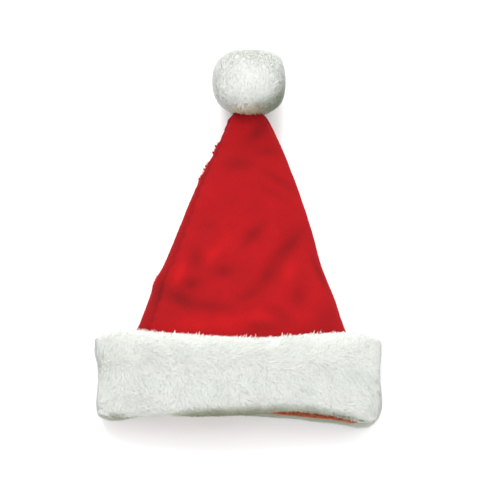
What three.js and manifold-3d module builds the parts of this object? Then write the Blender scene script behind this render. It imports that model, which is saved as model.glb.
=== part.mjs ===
import * as THREE from 'three';
import { mergeVertices } from 'three/addons/utils/BufferGeometryUtils.js';
import Module from 'manifold-3d';

// A plush hat lying on its back: a long soft cone of cloth, a deep fur cuff round its mouth
// and a fur pompom on its tip. X runs across the cuff, Y from the mouth to the pompom, and Z
// up from the surface that the hat rests on. Lengths are in millimetres, angles in radians.

// Cuff: a padded band of fur, folded flat with the hat.
const CUFF_WIDTH = 300; // from side fold to side fold
const CUFF_DEPTH = 92; // from the hem to the rolled top edge
const CUFF_HEIGHT = 58; // both layers with the mouth between them
const CUFF_FOLD_HEIGHT = 17; // the side folds above the surface
const FUR_WALL = 15; // the fur on top of the cloth
const PRESSED_FUR_WALL = 13.5; // the fur under the cloth, pressed by the hat's weight
const CUFF_LOCK_RELIEF = 2.6; // how far a lock stands out of the fur
const CUFF_LOCK_LEAN = 2.2; // how far a lock's end leans across the fur
const CUFF_CREASE_DEPTH = 2.4; // the deepest crease over the edge of the crown

// Crown: one shell of plush cloth, open at the mouth and closed at the tip.
const CLOTH_WALL = 2.5; // pile and backing
const CROWN_LENGTH = 338; // from the hem's line to the closed tip
const CROWN_INSET = 39; // from each side fold of the cuff to the crown, at the top edge
const CROWN_HEIGHT = 31; // the lying thickness halfway up
const HEM_INSET = 2; // the cloth's edge inside the fur's hem
const TIP_WIDTH = 30;
const TIP_HEIGHT = 22;
const TIP_OFFSET = 11; // how far the tip lies to the right of the cuff's middle
const TIP_BELOW_POMPOM = 8; // the tip's middle below the pompom's middle
const SEAM_DEPTH = 1.1; // the sewn groove up the left side
const GATHER_RELIEF = 0.9; // the small pleats round the tip
const GATHER_COUNT = 8;
const DENT_DEPTH = 4; // the deepest dent of the soft cloth

// Pompom: a ball of fur sewn over the tip.
const POMPOM_WIDTH = 79;
const POMPOM_LENGTH = 70;
const POMPOM_HEIGHT = 74;
const POMPOM_PRESS = 1.5; // how far its underside is flattened
const POMPOM_LOCK_RELIEF = 2.2;
const TIP_SUNK = 9; // how far the tip goes into the fur

const CLEARANCE = 0.3; // between pieces that lie on each other

// Fineness of the facets. Crown and cuff share their steps, so that their facets stay parallel.
const STEPS_AROUND = 64;
const POMPOM_STEPS = 34;
const POMPOM_RINGS = 17;

// Roundness of the lying sections: 2 is an ellipse, and more is squarer.
const ARCH_SQUARENESS = 2.1;
const FLOOR_SQUARENESS = 5;
const POMPOM_SQUARENESS = 2.25;
const FLATTENED = 0.08; // share of a section's lower half that is pressed level
const STEP_SPREAD = 0.85; // below 1 moves the steps from the folds to the middle
const FOLD_SHARE = 0.3; // height of the crown's side folds in its own thickness
const TIP_FOLD_SHARE = 0.5; // the same at the tip
const SECTION_ASPECT = 0.4; // how high a section is for its width, for the way its fur points

// Stations along the crown run from 0 at the hem to 1 at the cuff's top edge and 2 at the tip.
const CUFF_STATIONS = [0.06, 0.25, 0.48, 0.71, 0.94];
const FREE_STATIONS = [
  1.02, 1.07, 1.12, 1.17, 1.22, 1.27, 1.33, 1.39, 1.45, 1.51, 1.57, 1.63, 1.69, 1.75, 1.81,
  1.86, 1.9, 1.935, 1.965, 1.985, 2,
];
const TIP_STATIONS = FREE_STATIONS.slice(-7); // the part that the pompom is fitted to
const TIP_CLOSED_SHARE = 0.93; // how nearly the last ring is closed
const SEAM_ACROSS = -0.87; // place of the seam, as a share of the half width
const SEAM_HALF_ANGLE = THREE.MathUtils.degToRad(3.4);

// Stations between which each feature of the crown grows from nothing to its full size.
const GROWTH = {
  drape: [1, 1.24], // the cloth comes down from the cuff to the surface
  settle: [1, 1.6], // its upper side sinks to the height halfway up
  lift: [1.78, 2], // it rises again to the pompom
  gather: [1.84, 1.95], // the tip is pleated
  seamEnd: [1.85, 1.95], // the seam's groove runs out in the pleats
  dents: [1, 1.06],
  tipClosing: [1.962, 2],
};

// Edges of the cuff, across from the left fold to the right one, as shares of its depth.
const CUFF_EDGES = [
  { across: -1, hemBelow: 0.11, hemAbove: 0.11, topBelow: 1.0, topAbove: 1.0 },
  { across: -0.93, hemBelow: 0.05, hemAbove: 0.03, topBelow: 1.03, topAbove: 1.035 },
  { across: -0.82, hemBelow: 0.025, hemAbove: -0.015, topBelow: 1.02, topAbove: 1.02 },
  { across: -0.67, hemBelow: 0.07, hemAbove: 0.01, topBelow: 0.98, topAbove: 0.98 },
  { across: -0.45, hemBelow: 0.105, hemAbove: 0.05, topBelow: 0.97, topAbove: 0.95 },
  { across: -0.05, hemBelow: 0.12, hemAbove: 0.076, topBelow: 0.96, topAbove: 0.9 },
  { across: 0.2, hemBelow: 0.115, hemAbove: 0.083, topBelow: 0.96, topAbove: 0.893 },
  { across: 0.43, hemBelow: 0.067, hemAbove: 0.065, topBelow: 0.97, topAbove: 0.935 },
  { across: 0.68, hemBelow: 0.028, hemAbove: 0.028, topBelow: 0.98, topAbove: 0.968 },
  { across: 0.88, hemBelow: -0.04, hemAbove: -0.03, topBelow: 1.01, topAbove: 1.01 },
  { across: 0.95, hemBelow: 0.0, hemAbove: 0.01, topBelow: 1.01, topAbove: 1.01 },
  { across: 1, hemBelow: 0.09, hemAbove: 0.09, topBelow: 0.97, topAbove: 0.97 },
];

// Outside of the cuff from hem to top edge: a waist between the plump hem and the rolled ridge.
const CUFF_ROWS = [
  { along: 0.05, plump: -0.1 },
  { along: 0.15, plump: 0 },
  { along: 0.27, plump: -0.04 },
  { along: 0.39, plump: -0.12 },
  { along: 0.51, plump: -0.16 },
  { along: 0.63, plump: -0.16 },
  { along: 0.75, plump: -0.1 },
  { along: 0.86, plump: 0 },
  { along: 0.95, plump: -0.08 },
];

// Rounded rims of the cuff: how far round from the outer wall to the inner one each point is.
const RIM_STEPS = [0.22, 0.5, 0.78];
const RIM_ROUNDING = 0.05; // how far a rim's middle stands past its shoulders, as a share of depth
const LOCK_FADE = 1.2; // how fast the locks fade round a rim to the inner wall
const PRESSED_RISE = [0.5, 0.9]; // rises between which the locks underneath are pressed level

// Soft creases in the cuff's upper layer. across is a share of the half width, along, long and
// wide are shares of the depth, turn is in degrees from across the hat, and deep is a share of
// the deepest crease.
const CUFF_CREASES = [
  { across: -0.755, along: 0.55, long: 0.5, wide: 0.05, turn: 90, deep: 1 },
  { across: -0.78, along: 0.02, long: 0.1, wide: 0.08, turn: 90, deep: 0.9 },
  { across: 0.1, along: 0.03, long: 0.8, wide: 0.1, turn: 0, deep: 0.7 },
  { across: 0.78, along: 0.8, long: 0.25, wide: 0.065, turn: 90, deep: 0.5 },
];

// How far the crown's sides stand out of a straight cone, as shares of its width at the cuff.
const CROWN_SIDES = [
  { station: 1, left: 0, right: 0.006 },
  { station: 1.08, left: 0.002, right: 0.008 },
  { station: 1.16, left: 0.01, right: 0.016 },
  { station: 1.24, left: 0.026, right: 0.018 },
  { station: 1.3, left: 0.014, right: 0.012 },
  { station: 1.38, left: 0.015, right: 0.018 },
  { station: 1.45, left: 0.018, right: 0.028 },
  { station: 1.6, left: 0.026, right: 0.036 },
  { station: 1.68, left: 0.03, right: 0.038 },
  { station: 1.75, left: 0.022, right: 0.036 },
  { station: 1.82, left: 0.012, right: 0.032 },
  { station: 1.9, left: 0.002, right: 0.018 },
  { station: 1.97, left: 0.002, right: 0.004 },
];

// Dents in the crown's upper side, as the cuff's creases, with long and wide as shares of the
// crown's free length.
const CROWN_DENTS = [
  { across: -0.62, station: 1.19, long: 0.11, wide: 0.045, turn: -20, deep: 0.9 },
  { across: -0.15, station: 1.46, long: 0.06, wide: 0.04, turn: 0, deep: 0.7 },
  { across: 0.46, station: 1.33, long: 0.19, wide: 0.045, turn: 54, deep: 1 },
  { across: -0.22, station: 1.3, long: 0.05, wide: 0.035, turn: 30, deep: 0.5 },
  { across: 0.33, station: 1.11, long: 0.12, wide: 0.04, turn: 15, deep: 0.7 },
  { across: -0.3, station: 1.07, long: 0.12, wide: 0.04, turn: -8, deep: 0.6 },
  { across: 0.05, station: 1.8, long: 0.2, wide: 0.035, turn: 4, deep: 0.5 },
  { across: 0.1, station: 1.92, long: 0.05, wide: 0.03, turn: -25, deep: 0.5 },
  { across: 0.35, station: 1.6, long: 0.1, wide: 0.035, turn: 65, deep: 0.5 },
];

// Uneven fullness of the pompom, as shares of its radius. turn is in degrees from across the hat.
const POMPOM_BULGES = [
  { turn: 48, full: 0.045 },
  { turn: 128, full: 0.01 },
  { turn: 215, full: -0.02 },
  { turn: -42, full: 0.02 },
];
const BULGE_FOCUS = 5; // higher makes each bulge narrower

const { lerp: mix, smoothstep, degToRad } = THREE.MathUtils;

const POMPOM_MIDDLE = new THREE.Vector3(
  TIP_OFFSET,
  CROWN_LENGTH - TIP_SUNK + POMPOM_LENGTH / 2,
  POMPOM_HEIGHT / 2 - POMPOM_PRESS,
);
const TIP_BASE = POMPOM_MIDDLE.z - TIP_BELOW_POMPOM - TIP_HEIGHT / 2;
const MOUTH_HALF_WIDTH = CUFF_WIDTH / 2 - FUR_WALL - CLEARANCE;
const SHOULDER_HALF_WIDTH = CUFF_WIDTH / 2 - CROWN_INSET;
const FREE_LENGTH = CROWN_LENGTH - CUFF_DEPTH;

// Reads one column of a table at a place between its rows.
function readTable(table, key, column, place) {
  const next = table.findIndex((row) => row[key] >= place);
  if (next === 0) return table[0][column];
  if (next < 0) return table[table.length - 1][column];
  const before = table[next - 1];
  const after = table[next];
  const share = (place - before[key]) / (after[key] - before[key]);
  return mix(before[column], after[column], share);
}

// Depth of a group of soft round-bottomed dents, as a share of the deepest one. offset gives the
// distances from a dent's middle, across and along the hat, as shares of the table's unit.
function dentShare(dents, offset) {
  let depth = 0;
  for (const dent of dents) {
    const { across, along } = offset(dent);
    const turn = degToRad(dent.turn);
    const down = (across * Math.cos(turn) + along * Math.sin(turn)) / dent.long;
    const beside = (along * Math.cos(turn) - across * Math.sin(turn)) / dent.wide;
    depth += dent.deep * Math.exp(-(down ** 2) - beside ** 2);
  }
  return Math.min(depth, 1);
}

// How far a feature of the crown has grown at a station, from 0 to 1.
function grown(feature, station) {
  return smoothstep(station, ...GROWTH[feature]);
}

// The angles round the hat, with one step moved onto the seam and its neighbours beside it.
function hatAngles() {
  const seam = Math.acos(-(Math.abs(SEAM_ACROSS) ** (1 / STEP_SPREAD)));
  const step = (2 * Math.PI) / STEPS_AROUND;
  const seamStep = Math.round(seam / step);
  const angles = Array.from({ length: STEPS_AROUND }, (_, index) => index * step);
  for (const side of [-1, 0, 1]) {
    angles[seamStep + side] = seam + side * SEAM_HALF_ANGLE;
  }
  return { angles, seamStep };
}
const { angles: HAT_ANGLES, seamStep: SEAM_STEP } = hatAngles();

// A place on a lying section: how far across it is, how far up or down from the side folds,
// and the direction out of the section.
function sectionPlace(angle, floorSquareness) {
  const cosine = Math.cos(angle);
  const across = Math.sign(cosine) * Math.abs(cosine) ** STEP_SPREAD;
  const above = Math.sin(angle) >= 0;
  const squareness = above ? ARCH_SQUARENESS : floorSquareness;
  const span = Math.min(Math.abs(across), 1);
  const rise = (1 - span ** squareness) ** (1 / squareness);
  const outward = new THREE.Vector3(
    Math.sign(across) * span ** (squareness - 1) * SECTION_ASPECT,
    0,
    (above ? 1 : -1) * rise ** (squareness - 1),
  ).normalize();
  return { across, above, rise, outward };
}

// The point of a section with its lower half pressed level.
function sectionPoint(place, size) {
  const reach = place.above
    ? size.fold + (size.top - size.fold) * place.rise
    : size.fold - (size.fold - size.bottom) * (1 + FLATTENED) * place.rise;
  return new THREE.Vector3(size.middle + size.half * place.across, 0, Math.max(reach, size.bottom));
}

// The line of the hem or the top edge at a place on a section.
function edgeLine(edge, place) {
  const column = `${edge}${place.above ? 'Above' : 'Below'}`;
  return CUFF_DEPTH * readTable(CUFF_EDGES, 'across', column, place.across);
}

// Half width, middle, bottom, top and fold of the crown's section at a station, grown outwards.
function crownSize(station, grow) {
  const free = Math.max(station - 1, 0);
  const inCuff = Math.min(station, 1);
  const cone = station <= 1
    ? mix(MOUTH_HALF_WIDTH, SHOULDER_HALF_WIDTH, inCuff)
    : mix(SHOULDER_HALF_WIDTH, TIP_WIDTH / 2, free);
  const bulge = 2 * SHOULDER_HALF_WIDTH;
  const middle = TIP_OFFSET * (inCuff * CUFF_DEPTH + free * FREE_LENGTH) / CROWN_LENGTH;
  const left = middle - cone - bulge * readTable(CROWN_SIDES, 'station', 'left', station);
  const right = middle + cone + bulge * readTable(CROWN_SIDES, 'station', 'right', station);
  const lift = grown('lift', station);
  const mouthBottom = PRESSED_FUR_WALL + CLEARANCE;
  const bottom = mix(mix(mouthBottom, 0, grown('drape', station)), TIP_BASE, lift);
  const mouthTop = CUFF_HEIGHT - FUR_WALL - CLEARANCE;
  const bodyTop = mix(mouthTop, CROWN_HEIGHT, grown('settle', station));
  const top = mix(bodyTop, TIP_BASE + TIP_HEIGHT, lift);
  return {
    middle: (left + right) / 2,
    half: (right - left) / 2 + grow,
    bottom: bottom - grow,
    top: top + grow,
    fold: mix(bottom, top, mix(FOLD_SHARE, TIP_FOLD_SHARE, lift)),
  };
}

// Lengthwise place of a crown point.
function crownAlong(station, place) {
  const top = edgeLine('top', place);
  if (station > 1) return mix(top, CROWN_LENGTH, station - 1);
  return mix(edgeLine('hem', place) + HEM_INSET, top, station);
}

// How deep the crown is dented at a place: its upper side only, and fading out at the folds.
function crownDent(station, place, size) {
  if (!place.above) return 0;
  const share = dentShare(CROWN_DENTS, (dent) => ({
    across: ((place.across - dent.across) * size.half) / FREE_LENGTH,
    along: station - dent.station,
  }));
  return DENT_DEPTH * share * place.rise * grown('dents', station);
}

// One point of the crown's outside, grown outwards, or of its inside where inner is true.
function crownPoint(station, step, { grow = 0, inner = false }) {
  const angle = HAT_ANGLES[step];
  const floorSquareness = mix(FLOOR_SQUARENESS, ARCH_SQUARENESS, grown('lift', station));
  const place = sectionPlace(angle, floorSquareness);
  const size = crownSize(station, inner ? -CLOTH_WALL : grow);
  const point = sectionPoint(place, size);
  point.z -= crownDent(station, place, size);

  // The tip closes round its middle in small pleats. A neighbour is clear of the highest pleat.
  const middle = new THREE.Vector3(size.middle, 0, (size.bottom + size.top) / 2);
  const closing = TIP_CLOSED_SHARE * grown('tipClosing', station);
  const gather = (GATHER_RELIEF * grown('gather', station)) / (TIP_WIDTH / 2);
  const pleat = grow > 0 ? gather : gather * Math.cos(GATHER_COUNT * angle);
  point.sub(middle).multiplyScalar(Math.sqrt(1 - closing ** 2) * (1 + pleat)).add(middle);

  if (!inner && step === SEAM_STEP) {
    point.addScaledVector(place.outward, -SEAM_DEPTH * (1 - grown('seamEnd', station)));
  }
  const shift = inner ? -CLOTH_WALL : grow;
  point.y = crownAlong(station, place) + shift * grown('tipClosing', station);
  return point;
}

// One ring of the crown.
function crownRing(station, options) {
  return HAT_ANGLES.map((_, step) => crownPoint(station, step, options));
}

// A closed skin over rings of points. It joins the last ring to the first where loop is true,
// and otherwise closes each end with a fan. Each quad is cut between its lower corners, so that
// every raised point makes a lock of its own.
function skin(rings, loop) {
  const around = rings[0].length;
  const points = rings.flat();
  const faces = [];
  const bands = loop ? rings.length : rings.length - 1;
  for (let ring = 0; ring < bands; ring += 1) {
    const next = (ring + 1) % rings.length;
    for (let step = 0; step < around; step += 1) {
      const beside = (step + 1) % around;
      const [a, b] = [ring * around + step, ring * around + beside];
      const [c, d] = [next * around + beside, next * around + step];
      if (isRaised(ring, step)) faces.push(a, d, b, b, d, c);
      else faces.push(a, c, b, a, d, c);
    }
  }
  if (!loop) {
    const lastRing = (rings.length - 1) * around;
    points.push(ringMiddle(rings[0]), ringMiddle(rings[rings.length - 1]));
    for (let step = 0; step < around; step += 1) {
      const beside = (step + 1) % around;
      faces.push(points.length - 2, step, beside);
      faces.push(points.length - 1, lastRing + beside, lastRing + step);
    }
  }
  const geometry = new THREE.BufferGeometry();
  const positions = points.flatMap((point) => point.toArray());
  geometry.setAttribute('position', new THREE.Float32BufferAttribute(positions, 3));
  geometry.setIndex(faces);
  return geometry;
}

function isRaised(ring, step) {
  return (ring + step) % 2 === 0;
}

function ringMiddle(ring) {
  const sum = new THREE.Vector3();
  for (const point of ring) sum.add(point);
  return sum.divideScalar(ring.length);
}

// The crown: inside from the tip to the mouth, then outside from the mouth to the tip.
function crownGeometry() {
  const stations = [0, ...CUFF_STATIONS, ...FREE_STATIONS];
  const inside = stations.map((station) => crownRing(station, { inner: true })).reverse();
  const outside = stations.map((station) => crownRing(station, {}));
  return skin([...inside, ...outside], false);
}

// The part of the crown that the pompom sits on, grown by the clearance.
function tipPlugGeometry() {
  return skin(TIP_STATIONS.map((station) => crownRing(station, { grow: CLEARANCE })), false);
}

// One point of the cuff's outer wall.
function cuffOuterPoint(row, place) {
  const plump = FUR_WALL * row.plump;
  const point = sectionPoint(place, {
    middle: 0,
    half: CUFF_WIDTH / 2 + plump,
    bottom: 0,
    top: CUFF_HEIGHT + plump,
    fold: CUFF_FOLD_HEIGHT,
  });
  point.y = mix(edgeLine('hem', place), edgeLine('top', place), row.along);
  if (place.above) {
    const share = dentShare(CUFF_CREASES, (crease) => ({
      across: ((place.across - crease.across) * CUFF_WIDTH) / 2 / CUFF_DEPTH,
      along: row.along - crease.along,
    }));
    point.z -= CUFF_CREASE_DEPTH * share * place.rise;
  }
  return point;
}

// Rows of the cuff's closed profile: up the outside, over the top rim, down the inside along
// the crown, and round the hem. round is 0 on the outer wall and 1 on the inner one.
function cuffProfile() {
  const outside = CUFF_ROWS.map((row) => ({ ...row, round: 0, end: 0 }));
  const inside = CUFF_STATIONS.map((along) => ({ along, plump: 0, round: 1, end: 0 })).reverse();
  const lastRow = CUFF_ROWS[CUFF_ROWS.length - 1];
  const topRim = RIM_STEPS.map((round) => ({ ...lastRow, round, end: 1 }));
  const hemRim = RIM_STEPS.map((round) => ({ ...CUFF_ROWS[0], round: 1 - round, end: -1 }));
  return [...outside, ...topRim, ...inside, ...hemRim];
}

// One ring of the cuff, with its locks raised on the outside and pressed level underneath.
function cuffRing(row, ring) {
  const innerEdge = row.end > 0 ? CUFF_STATIONS[CUFF_STATIONS.length - 1] : CUFF_STATIONS[0];
  return HAT_ANGLES.map((angle, step) => {
    if (row.round === 1) return crownPoint(row.along, step, { grow: CLEARANCE });
    const place = sectionPlace(angle, FLOOR_SQUARENESS);
    const outer = cuffOuterPoint(row, place);
    const inner = crownPoint(innerEdge, step, { grow: CLEARANCE });
    const turn = Math.PI * row.round;
    const point = outer.clone().lerp(inner, row.round);
    point.y = outer.y + row.end * CUFF_DEPTH * RIM_ROUNDING * Math.sin(turn);

    const pressed = place.above ? 0 : smoothstep(place.rise, ...PRESSED_RISE);
    const freedom = Math.max(1 - row.round * LOCK_FADE, 0) * (1 - pressed);
    const out = place.outward.clone().multiplyScalar(Math.cos(turn));
    out.y = row.end * Math.sin(turn);
    const raised = isRaised(ring, step);
    point.addScaledVector(out, (freedom * CUFF_LOCK_RELIEF) / (raised ? 2 : -2));
    if (raised) point.x += CUFF_LOCK_LEAN * freedom * place.rise;
    point.z = Math.max(point.z, 0);
    return point;
  });
}

function cuffGeometry() {
  return skin(cuffProfile().map(cuffRing), true);
}

// How much fuller than its even shape the pompom is in a direction.
function pompomFullness(out) {
  let fullness = 0;
  for (const { turn, full } of POMPOM_BULGES) {
    const towards = out.x * Math.cos(degToRad(turn)) + out.y * Math.sin(degToRad(turn));
    fullness += full * Math.max(towards, 0) ** BULGE_FOCUS;
  }
  return fullness;
}

// The ball of the pompom before the tip's seat is cut: locks all over, pressed level underneath.
function ballGeometry() {
  const radii = new THREE.Vector3(POMPOM_WIDTH, POMPOM_LENGTH, POMPOM_HEIGHT).divideScalar(2);
  const rings = Array.from({ length: POMPOM_RINGS }, (_, ring) => {
    const polar = (Math.PI * (ring + 0.5)) / POMPOM_RINGS;
    return Array.from({ length: POMPOM_STEPS }, (__, step) => {
      const angle = (2 * Math.PI * step) / POMPOM_STEPS;
      const out = new THREE.Vector3(
        Math.sin(polar) * Math.cos(angle),
        -Math.cos(polar),
        Math.sin(polar) * Math.sin(angle),
      );
      const norm = out.toArray().reduce((sum, part) => sum + Math.abs(part) ** POMPOM_SQUARENESS, 0);
      const reach = norm ** (-1 / POMPOM_SQUARENESS) + pompomFullness(out);
      const point = out.clone().multiplyScalar(reach).multiply(radii);
      point.addScaledVector(out, isRaised(ring, step) ? 0 : -POMPOM_LOCK_RELIEF);
      point.add(POMPOM_MIDDLE);
      point.z = Math.max(point.z, 0);
      return point;
    });
  });
  return skin(rings, false);
}

const wasm = await Module();
wasm.setup();

function toSolid(geometry) {
  const merged = mergeVertices(geometry);
  return new wasm.Manifold(new wasm.Mesh({
    numProp: 3,
    vertProperties: new Float32Array(merged.attributes.position.array),
    triVerts: new Uint32Array(merged.index.array),
  }));
}

function fromSolid(solid) {
  const mesh = solid.getMesh();
  const geometry = new THREE.BufferGeometry();
  geometry.setAttribute('position', new THREE.BufferAttribute(mesh.vertProperties, 3));
  geometry.setIndex(new THREE.BufferAttribute(mesh.triVerts, 1));
  return geometry;
}

function pompomGeometry() {
  return fromSolid(toSolid(ballGeometry()).subtract(toSolid(tipPlugGeometry())));
}

function piece(name, geometry, colour, roughness) {
  const material = new THREE.MeshStandardMaterial({ color: colour, roughness, metalness: 0 });
  const mesh = new THREE.Mesh(geometry, material);
  mesh.name = name;
  return mesh;
}

const hat = new THREE.Group();
hat.add(piece('crown', crownGeometry(), '#c0232a', 0.9));
hat.add(piece('cuff', cuffGeometry(), '#e7ece4', 1));
hat.add(piece('pompom', pompomGeometry(), '#e7ece4', 1));

// The origin is on the surface below the middle of the lying hat.
const centre = new THREE.Box3().setFromObject(hat).getCenter(new THREE.Vector3());
hat.position.set(-centre.x, -centre.y, 0);

export default hat;
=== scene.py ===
"""A plush hat lying on its back: a red cone of velvety cloth, a deep fur cuff and a fur pompom.

Lengths are in metres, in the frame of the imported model: X runs across the cuff, Y from the
mouth to the pompom, and Z up from the floor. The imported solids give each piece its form. The
fur is made of short bent blades, rooted in a smooth base inside each fur solid.
"""

import math
from dataclasses import dataclass

import bmesh
import bpy
import numpy as np
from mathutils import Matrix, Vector, bvhtree, kdtree, noise


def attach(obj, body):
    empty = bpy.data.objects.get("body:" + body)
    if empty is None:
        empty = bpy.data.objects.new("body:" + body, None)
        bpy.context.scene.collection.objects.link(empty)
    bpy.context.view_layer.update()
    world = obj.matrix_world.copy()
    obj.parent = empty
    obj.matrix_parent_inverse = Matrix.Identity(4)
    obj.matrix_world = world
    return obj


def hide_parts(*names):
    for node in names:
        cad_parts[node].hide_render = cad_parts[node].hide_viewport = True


MM = 0.001
SEED = 20

# Camera and light.
CAMERA_ELEVATION = math.radians(75)
CAMERA_LENS = 300
CAMERA_SENSOR = 36
VIEW_WIDTH = 503.5 * MM  # what the picture's width shows at the hat
VIEW_MIDDLE = Vector((1.8, -2, 22)) * MM
LIGHTS = [
    {"name": "key", "place": (-0.4, 1.5, 1.5), "size": 1.6, "power": 47},
    {"name": "fill", "place": (1.2, 0.5, 1.6), "size": 1.8, "power": 15},
    {"name": "front", "place": (-0.6, -1.3, 1.4), "size": 1.6, "power": 10},
]
SKY_COLOUR = (1, 1, 1, 1)
SKY_STRENGTH = 0.95
FLOOR_WIDTH = 8

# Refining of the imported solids.
MERGE_DISTANCE = 0.001 * MM
RELAX_STEP = 0.5
RETURN_STEP = 0.53  # back again, by a little more, so that the form doesn't shrink
SECTION_STEP = 4 * MM  # between the places where the crown's width and height are read
LEAST_LENGTH = 1e-12  # that a vector is divided by
OUTWARD_FROM = (-0.5, 0.1)  # how far a face looks out of the hollow where the fur begins
RIM_FROM = (0.25, 0.6)  # how far a face looks along the hat where the rims begin

# Crown. Its cloth is cut in two halves.
CROWN_LEVELS = 2
WRINKLES = [
    {"size": 30 * MM, "stretch": 1.6, "height": 0.9 * MM},
    {"size": 9 * MM, "stretch": 1.3, "height": 0.28 * MM},
]
SEAM_ACROSS = -0.87  # place of the seam, as a share of the half width
PUCKER_LENGTH = 8 * MM
PUCKER_REACH = 7 * MM
PUCKER_HEIGHT = 0.32 * MM
STRIP_TONE = 0.2  # of the cloth past the seam
SEAM_TONE = 0.16
SEAM_WIDTH = 2.5 * MM
STRIP_EDGE = (1 * MM, -1 * MM)  # across the seam, where the strip's tone begins
UPPER_FROM = (-4 * MM, 4 * MM)  # over the crown's middle height, where its upper cloth begins
SMOOTH_REACH = 6 * MM  # above the floor, where the wrinkles begin
PATCH_SPREAD = 1.3  # of the charted patches, whose tone goes down by as much
PATCH_SINK = 0.7 * MM

# Where the crown's pile lies another way, or its cloth sinks, and looks darker: partly the pile's own
# tone, and partly painted shade in the dents and a painted shadow under the pompom. A depth below zero
# is a lighter streak. Places and half sizes are in mm, and turns in degrees from X.
PATCH_COLUMNS = ("x", "y", "half_length", "half_width", "turn", "depth")
PATCHES = [
    (21, 113, 13, 6, 50, 0.55),
    # painted shadow under the pompom
    (11, 128, 16, 4, 0, 0.35),
    (-2, 79, 15, 6, 0, 0.45),
    (29, 93, 10, 4, 10, 0.3),
    (42, 62, 15, 4, -30, 0.35),
    (37, 48, 10, 4, -30, 0.25),
    (16, 2, 15, 5, 50, 0.5),
    (54, -9, 17, 6, 50, 0.6),
    (31, -43, 12, 6, 50, 0.5),
    (-44, -24, 10, 6, 90, 0.4),
    (-15, -39, 9, 6, 0, 0.5),
    (-49, -52, 7, 5, 0, 0.5),
    (-61, -67, 13, 7, -25, 0.7),
    (-30, -78, 17, 5, -10, 0.45),
    (-82, -59, 13, 5, 70, 0.35),
    (12, -65, 13, 4, 30, 0.35),
    (63, -65, 10, 6, 90, 0.35),
    (44, -87, 12, 5, -30, 0.4),
    (23, -100, 13, 6, 0, 0.45),
    (92, -91, 13, 9, 60, 0.35),
    (86, -39, 15, 3, -65, 0.5),
    (-32, 11, 9, 6, 20, 0.25),
    (-23, -15, 15, 5, 50, -0.22),
    (52, -39, 10, 6, 70, -0.2),
    (4, -93, 42, 8, 5, -0.28),
    (-61, -39, 13, 4, 70, -0.25),
]

# Frayed tufts on the crown's left edge: threads, and the bump of the cloth under them.
TUFTS = [
    {"along": 102 * MM, "spread": 3.5 * MM, "bump": 1.3 * MM, "threads": 160, "length": 2.4 * MM},
    {"along": 97 * MM, "spread": 1.2 * MM, "bump": 0, "threads": 50, "length": 3.4 * MM},
    {"along": 83 * MM, "spread": 3.5 * MM, "bump": 1.2 * MM, "threads": 120, "length": 2.4 * MM},
    {"along": 77 * MM, "spread": 1.5 * MM, "bump": 0, "threads": 40, "length": 4.4 * MM},
    {"along": 69 * MM, "spread": 3 * MM, "bump": 1.2 * MM, "threads": 70, "length": 2.2 * MM},
    {"along": -44 * MM, "spread": 9 * MM, "bump": 1.5 * MM, "threads": 120, "length": 1.8 * MM},
]
THREAD_WIDTH = 0.5 * MM
THREAD_REACH = 1.5 * MM  # round a thread's place, where the cloth's edge is looked for
THREAD_SCATTER = 0.5  # along the edge, as a share of the tuft's spread
THREAD_ROOTS = ((0.2, -1, -1.5), (1, 1, 1.5))  # how far a root may lie from the edge, in mm
THREAD_LENGTHS = (0.55, 1)  # as shares of the tuft's
THREAD_WAY = (-1, 0.15, 0.1)
THREAD_SPREAD = 0.3
THREAD_BEND = 0.45
THREAD_DEPTHS = (0, 0.5)  # in the ramp of the threads' colours
BUMP_FROM = (0.3, 0.9)  # how far the cloth faces left where its bumps begin

# Fur.
BLADES = 63_000  # in each mesh
BLADE_LEAST_HEIGHT = 0.3 * MM  # of a blade's points above the floor
BLADE_HEIGHTS = (0, 0, 0.55, 0.55, 1)  # of a blade's points, from root to tip
KNEE = 0.5  # where a blade bends, as a share of its length
KNEE_WIDTH = 0.8  # as a share of the root's
BLADE_PLACES = ((0.1, 0.1), (0.9, 0.1), (0.8, 0.5), (0.2, 0.5), (0.5, 0.9))  # in its cell of the map
BLADE_FACES = ((0, 1, 2, 3), (3, 2, 4))
SHARED_NORMAL = 0.75  # of the fur's normal in a blade's
LIGHT_THROUGH = 0.5  # the share of the light that passes through a blade
ROOTS_FROM = (0.25, 0.8)  # how furry a face is where the blades begin
PRESSED_HEIGHT = 3 * MM  # below it, the fur is pressed by the hat's weight
PRESSED_DENSITY = 0.45
ROLL_SPREAD = 0.5  # how far the blades' angles differ, in radians
WAY_SPREAD = 0.2
LEAN_SPREAD = 0.14
UNEVEN_LIMIT = 2  # of a blade's length, in standard deviations
WAVE_SIZE = 9 * MM
WAVE = 0.12  # how far the fur's length goes up and down in waves
SWIRL_SIZE = 26 * MM
KNEE_GATHERING = 0.5  # as a share of the gathering of the tips
KNEE_ASIDE = 0.7  # how far gathered knees and tips keep to their side of their leader's
TIP_ASIDE = 0.35
BLADE_TONES = (0.96, 1)
RIM_TURN = (0.05, 0.8)  # how far the cuff faces +Y where its rim begins
STRAYS = 0.03  # the share of blades that are trimmed less
STRAY_LENGTH = 1.6 * MM
MOTTLE_SIZE = 13 * MM
MOTTLE = 0.03

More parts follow.
